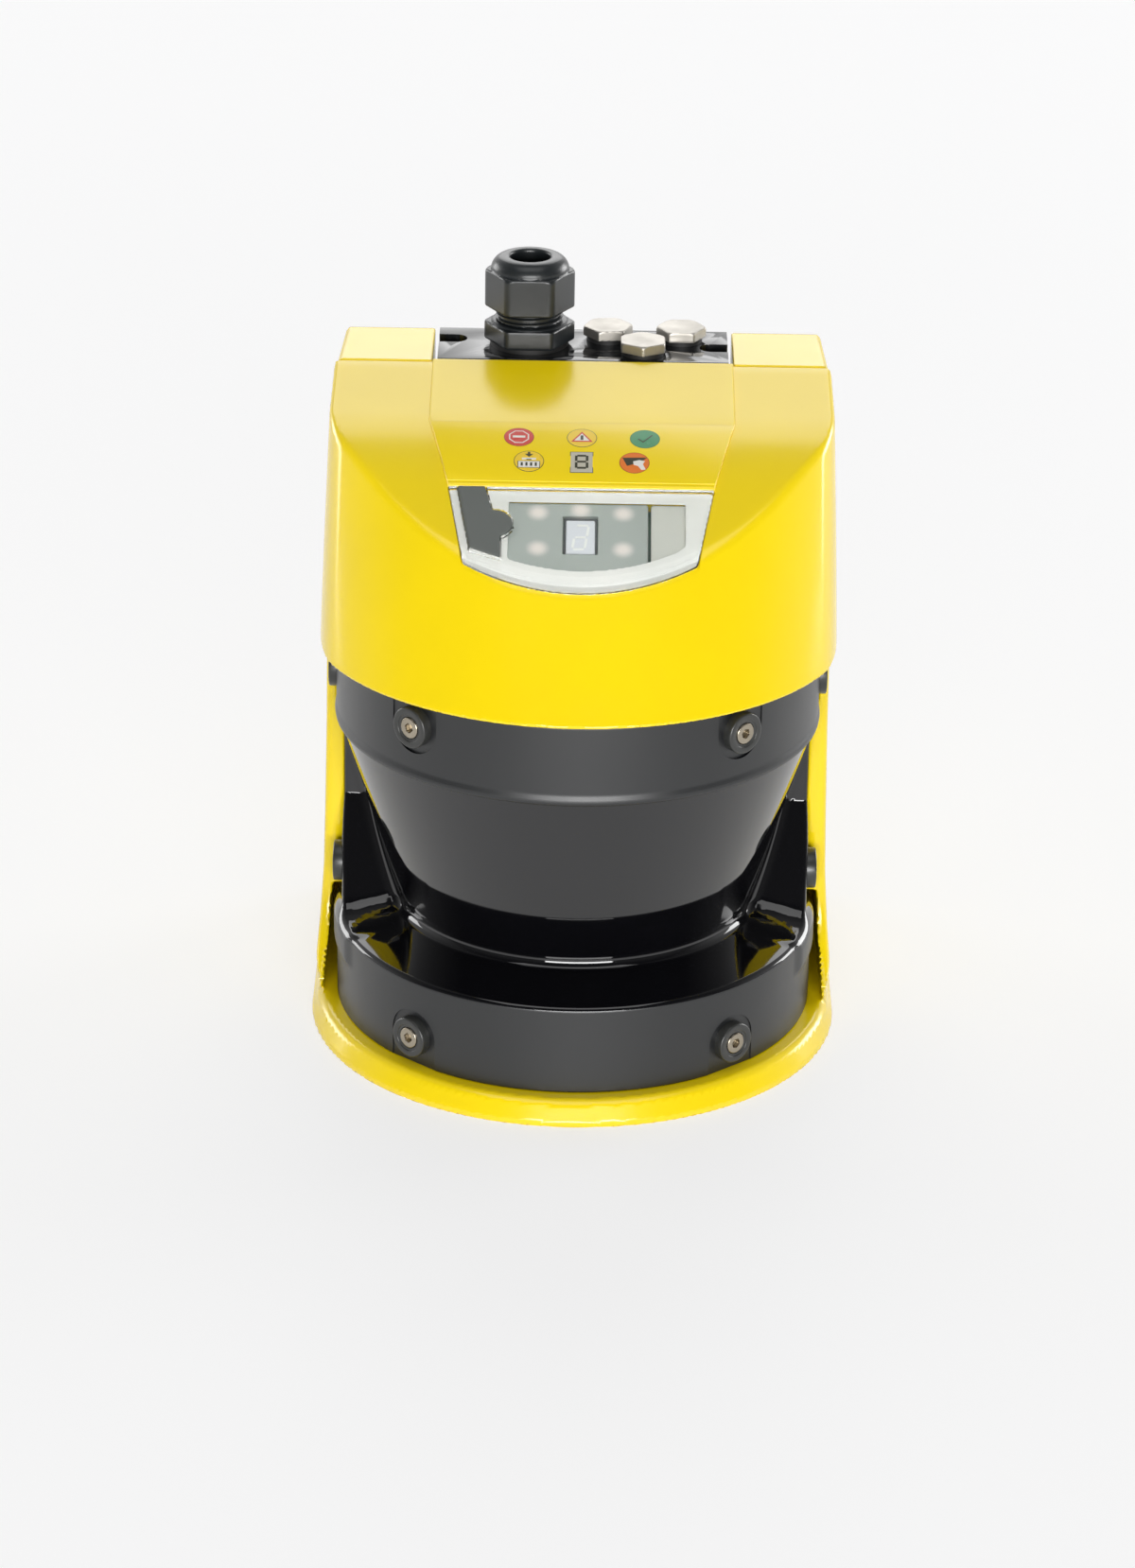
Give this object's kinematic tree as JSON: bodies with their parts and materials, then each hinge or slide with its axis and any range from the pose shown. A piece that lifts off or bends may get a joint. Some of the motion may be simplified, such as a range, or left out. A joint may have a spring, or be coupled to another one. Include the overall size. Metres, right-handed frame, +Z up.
{
  "type": "safety laser scanner",
  "caption": "Machine-guarding laser scanner: cast frame, black optics cover with curved scan window, sloping display hood and a plug with cable gland.",
  "frame": {"origin": "on the floor, under the vertical axis of the scan mirror, at the centre of the base flange's round front", "axes": "+Z up, +Y to the flat mounting rear, +X across the front, so that the scan window faces -Y"},
  "size_m": [0.155, 0.16, 0.2121],
  "materials": {
    "powder_yellow": "glossy yellow powder coat with a fine orange-peel texture",
    "cover_black": "black moulding: matt bands, glossy ledge, grey glossy scan window",
    "seal_grey": "matt dark elastomer",
    "washer_black": "blackened steel, satin",
    "screw_bronze": "passivated steel, worn satin",
    "screw_steel": "zinc-plated steel, satin",
    "foil_yellow": "satin printed foil",
    "window_clear": "clear frosted plastic with polished edges",
    "board_green": "solder resist, satin",
    "led_ivory": "milky lamp lenses",
    "digit_grey": "seven-segment block behind a pale face",
    "diffuser_grey": "grey diffusing film",
    "flap_grey": "satin dark grey plastic",
    "plug_black": "glossy black anodised",
    "plastic_black": "matt black plastic",
    "gland_grey": "dark grey polyamide, satin gloss",
    "nickel": "nickel-plated brass, bright",
    "motor_grey": "machined, satin",
    "copper": "enamelled copper windings",
    "magnet": "dark sintered magnet",
    "disc_steel": "thin etched steel",
    "mirror": "front-silvered mirror",
    "lens": "clear polished lens",
    "laser_brass": "turned brass barrel"
  },
  "bodies": {
    "housing": {"frame_casting": "powder_yellow", "optics_cover": "cover_black", "cover_seal": "seal_grey", "cover_washers": "washer_black", "cover_screws": "screw_bronze", "hood_casting": "powder_yellow", "hood_gasket": "seal_grey", "hood_screws": "screw_steel", "legend_foil": "foil_yellow", "display_window": "window_clear", "display_board": "board_green", "display_screws": "screw_steel", "status_leds": "led_ivory", "digit_display": "digit_grey", "display_diffuser": "diffuser_grey", "flap_pin": "screw_steel", "service_socket": "plastic_black", "plug_housing": "plug_black", "plug_gasket": "seal_grey", "plug_screws": "washer_black", "plug_connector": "plastic_black", "hood_connector": "plastic_black", "gland_body": "gland_grey", "gland_o_ring": "seal_grey", "gland_seal": "seal_grey", "blind_plugs": "nickel", "blind_plug_rings": "seal_grey", "motor_housing": "motor_grey", "motor_screws": "screw_steel", "motor_stator": "copper", "upper_bearing": "screw_steel", "lower_bearing": "screw_steel", "encoder_sensor": "board_green", "lens_tube": "plastic_black", "receiver_lens": "lens", "laser_module": "laser_brass", "receiver_board": "board_green", "window_monitor_board": "board_green", "window_monitor_leds": "led_ivory", "reference_target": "plastic_black", "power_board": "board_green", "processor_board": "board_green", "board_spacers": "screw_steel", "board_screws": "screw_steel"},
    "rotor": {"rotor_shaft": "screw_steel", "rotor_magnet": "magnet", "encoder_disc": "disc_steel", "mirror_carrier": "plastic_black", "scan_mirror": "mirror"},
    "flap": {"service_flap": "flap_grey"},
    "clamp_nut": {"gland_nut": "gland_grey"}
  },
  "joints": [
    {"name": "mirror_spin", "type": "hinge", "parent": "housing", "child": "rotor", "pos_m": [0, 0, 0.072], "axis": [0, 0, 1], "continuous": true},
    {"name": "flap_hinge", "type": "hinge", "parent": "housing", "child": "flap", "pos_m": [-0.0342, -0.01227, 0.16914], "axis": [0.1593, -0.9019, -0.4015], "range_deg": [0, 90]},
    {"name": "gland_nut_turn", "type": "hinge", "parent": "housing", "child": "clamp_nut", "pos_m": [-0.016, 0.0695, 0.2], "axis": [0, 0, 1], "range_deg": [0, 360]}
  ]
}
